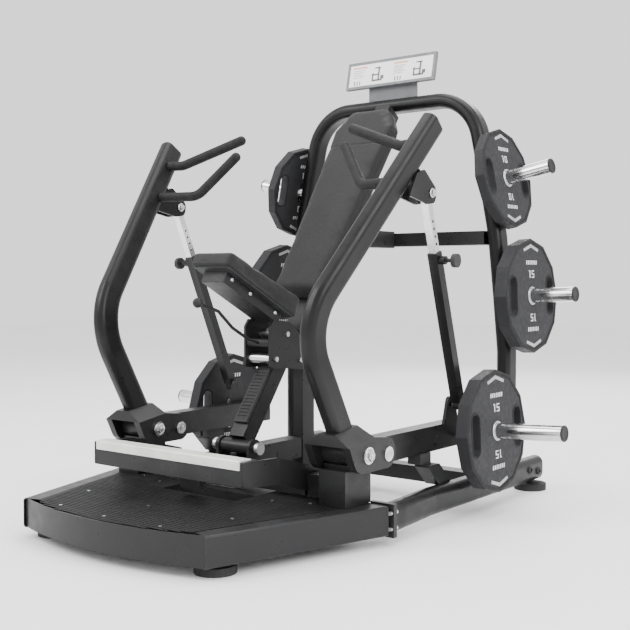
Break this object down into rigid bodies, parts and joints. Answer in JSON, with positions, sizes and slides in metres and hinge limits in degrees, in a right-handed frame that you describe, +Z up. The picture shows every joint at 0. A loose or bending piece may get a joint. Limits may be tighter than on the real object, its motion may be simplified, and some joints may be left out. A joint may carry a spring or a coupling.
{
  "type": "plate-loaded lever press machine",
  "caption": "Seated incline press with two hinged lever arms, weight plates on horns, padded seat and back, foot bar and deck.",
  "frame": {"origin": "centre of the footprint box, on the floor", "axes": "+Z up, +Y to the rear of the machine, +X to the seated user's left"},
  "size_m": [1.628, 1.6417, 1.5593],
  "materials": {
    "frame": "semi-gloss black powder coat",
    "deck": "grooved anti-slip panel",
    "fasteners": "zinc plated",
    "rubber": "matte",
    "tread": "ribbed anodised",
    "plastic": "moulded, fine texture",
    "upholstery": "matte synthetic leather",
    "sign_frame": "satin grey",
    "sign_panel": "printed board",
    "chrome": "polished",
    "plates": "matte urethane",
    "grips": "ribless rubber sleeve"
  },
  "bodies": {
    "root": {"side_rail_left": "frame", "side_rail_right": "frame", "front_fascia": "frame", "deck_panel": "deck", "deck_screws": "fasteners", "rear_rail_left": "frame", "rear_rail_right": "frame", "base_crossbeams": "frame", "centre_rail": "frame", "rubber_feet": "rubber", "pivot_posts": "frame", "foot_bar": "frame", "foot_bar_arms": "frame", "foot_tread": "tread", "pivot_crossbeam": "frame", "spine_beam": "frame", "seat_post": "frame", "seat_strut": "frame", "strut_cover": "plastic", "seat_bracket": "frame", "frame_bolts": "fasteners", "back_pad": "upholstery", "back_tube": "frame", "back_supports": "frame", "arch": "frame", "arch_crossbeam": "frame", "storage_horns": "chrome", "sign_frame": "sign_frame", "sign_panel": "sign_panel", "stop_posts": "frame", "rubber_bumpers": "rubber"},
    "seat": {"seat_pad": "upholstery", "seat_carriage": "frame"},
    "release": {"release_lever": "plastic"},
    "arm_left": {"pivot_box_left": "frame", "pivot_pins_left": "chrome", "handle_arm_left": "frame", "grips_left": "grips", "link_bracket_left": "frame"},
    "lever_left": {"load_lever_left": "frame", "lever_horn_left": "chrome"},
    "sleeve_left": {"link_sleeve_left": "frame"},
    "tube_left": {"link_tube_left": "chrome"},
    "pin_left": {"pop_pin_left": "plastic"},
    "plate_upper_left": {"weight_plate_upper_left": "plates"},
    "plate_middle_left": {"weight_plate_middle_left": "plates"},
    "plate_lever_left": {"weight_plate_lever_left": "plates"},
    "arm_right": {"pivot_box_right": "frame", "pivot_pins_right": "chrome", "handle_arm_right": "frame", "grips_right": "grips", "link_bracket_right": "frame"},
    "lever_right": {"load_lever_right": "frame", "lever_horn_right": "chrome"},
    "sleeve_right": {"link_sleeve_right": "frame"},
    "tube_right": {"link_tube_right": "chrome"},
    "pin_right": {"pop_pin_right": "plastic"},
    "plate_upper_right": {"weight_plate_upper_right": "plates"},
    "plate_middle_right": {"weight_plate_middle_right": "plates"},
    "plate_lever_right": {"weight_plate_lever_right": "plates"}
  },
  "joints": [
    {"name": "seat_slide", "type": "slide", "parent": "root", "child": "seat", "axis": [0, -0.8879, 0.46], "range_m": [0, 0.06]},
    {"name": "release_lever", "type": "hinge", "parent": "root", "child": "release", "pos_m": [0, -0.142, 0.548], "axis": [-1, 0, 0], "range_deg": [0, 8], "stiffness_Nm_per_rad": 4},
    {"name": "arm_swing_left", "type": "hinge", "parent": "root", "child": "arm_left", "pos_m": [0.416, -0.26, 0.26], "axis": [1, 0, 0], "range_deg": [0, 38]},
    {"name": "start_angle_left", "type": "hinge", "parent": "arm_left", "child": "lever_left", "pos_m": [0.416, -0.161, 0.252], "axis": [1, 0, 0], "range_deg": [0, 9]},
    {"name": "link_hinge_left", "type": "hinge", "parent": "lever_left", "child": "sleeve_left", "pos_m": [0.486, 0.255, 0.35], "axis": [1, 0, 0], "range_deg": [-11, 0]},
    {"name": "link_slide_left", "type": "slide", "parent": "sleeve_left", "child": "tube_left", "axis": [0.043, -0.3624, 0.931], "range_m": [-0.09, 0]},
    {"name": "pop_pin_left", "type": "slide", "parent": "sleeve_left", "child": "pin_left", "axis": [0.9991, 0.0156, -0.04], "range_m": [0, 0.012], "stiffness_N_per_m": 900, "springref_m": -0.004},
    {"name": "plate_slide_upper_left", "type": "slide", "parent": "root", "child": "plate_upper_left", "axis": [0.9816, 0, 0.1908], "range_m": [0, 0.16]},
    {"name": "plate_slide_middle_left", "type": "slide", "parent": "root", "child": "plate_middle_left", "axis": [0.999, 0, 0.0454], "range_m": [0, 0.151]},
    {"name": "plate_slide_lever_left", "type": "slide", "parent": "lever_left", "child": "plate_lever_left", "axis": [0.9986, 0, 0.0523], "range_m": [0, 0.222]},
    {"name": "arm_swing_right", "type": "hinge", "parent": "root", "child": "arm_right", "pos_m": [-0.416, -0.26, 0.26], "axis": [1, 0, 0], "range_deg": [0, 38]},
    {"name": "start_angle_right", "type": "hinge", "parent": "arm_right", "child": "lever_right", "pos_m": [-0.416, -0.161, 0.252], "axis": [1, 0, 0], "range_deg": [0, 9]},
    {"name": "link_hinge_right", "type": "hinge", "parent": "lever_right", "child": "sleeve_right", "pos_m": [-0.486, 0.255, 0.35], "axis": [1, 0, 0], "range_deg": [-11, 0]},
    {"name": "link_slide_right", "type": "slide", "parent": "sleeve_right", "child": "tube_right", "axis": [-0.043, -0.3624, 0.931], "range_m": [-0.09, 0]},
    {"name": "pop_pin_right", "type": "slide", "parent": "sleeve_right", "child": "pin_right", "axis": [-0.9991, 0.0156, -0.04], "range_m": [0, 0.012], "stiffness_N_per_m": 900, "springref_m": -0.004},
    {"name": "plate_slide_upper_right", "type": "slide", "parent": "root", "child": "plate_upper_right", "axis": [-0.9816, 0, 0.1908], "range_m": [0, 0.16]},
    {"name": "plate_slide_middle_right", "type": "slide", "parent": "root", "child": "plate_middle_right", "axis": [-0.999, 0, 0.0454], "range_m": [0, 0.151]},
    {"name": "plate_slide_lever_right", "type": "slide", "parent": "lever_right", "child": "plate_lever_right", "axis": [-0.9986, 0, 0.0523], "range_m": [0, 0.222]}
  ],
  "couplings": [
    {"joint": "link_hinge_left", "follows": "start_angle_left", "ratio": -0.95853},
    {"joint": "link_slide_left", "follows": "start_angle_left", "m_per_rad": -0.42563},
    {"joint": "link_hinge_right", "follows": "start_angle_right", "ratio": -0.95853},
    {"joint": "link_slide_right", "follows": "start_angle_right", "m_per_rad": -0.42563}
  ]
}
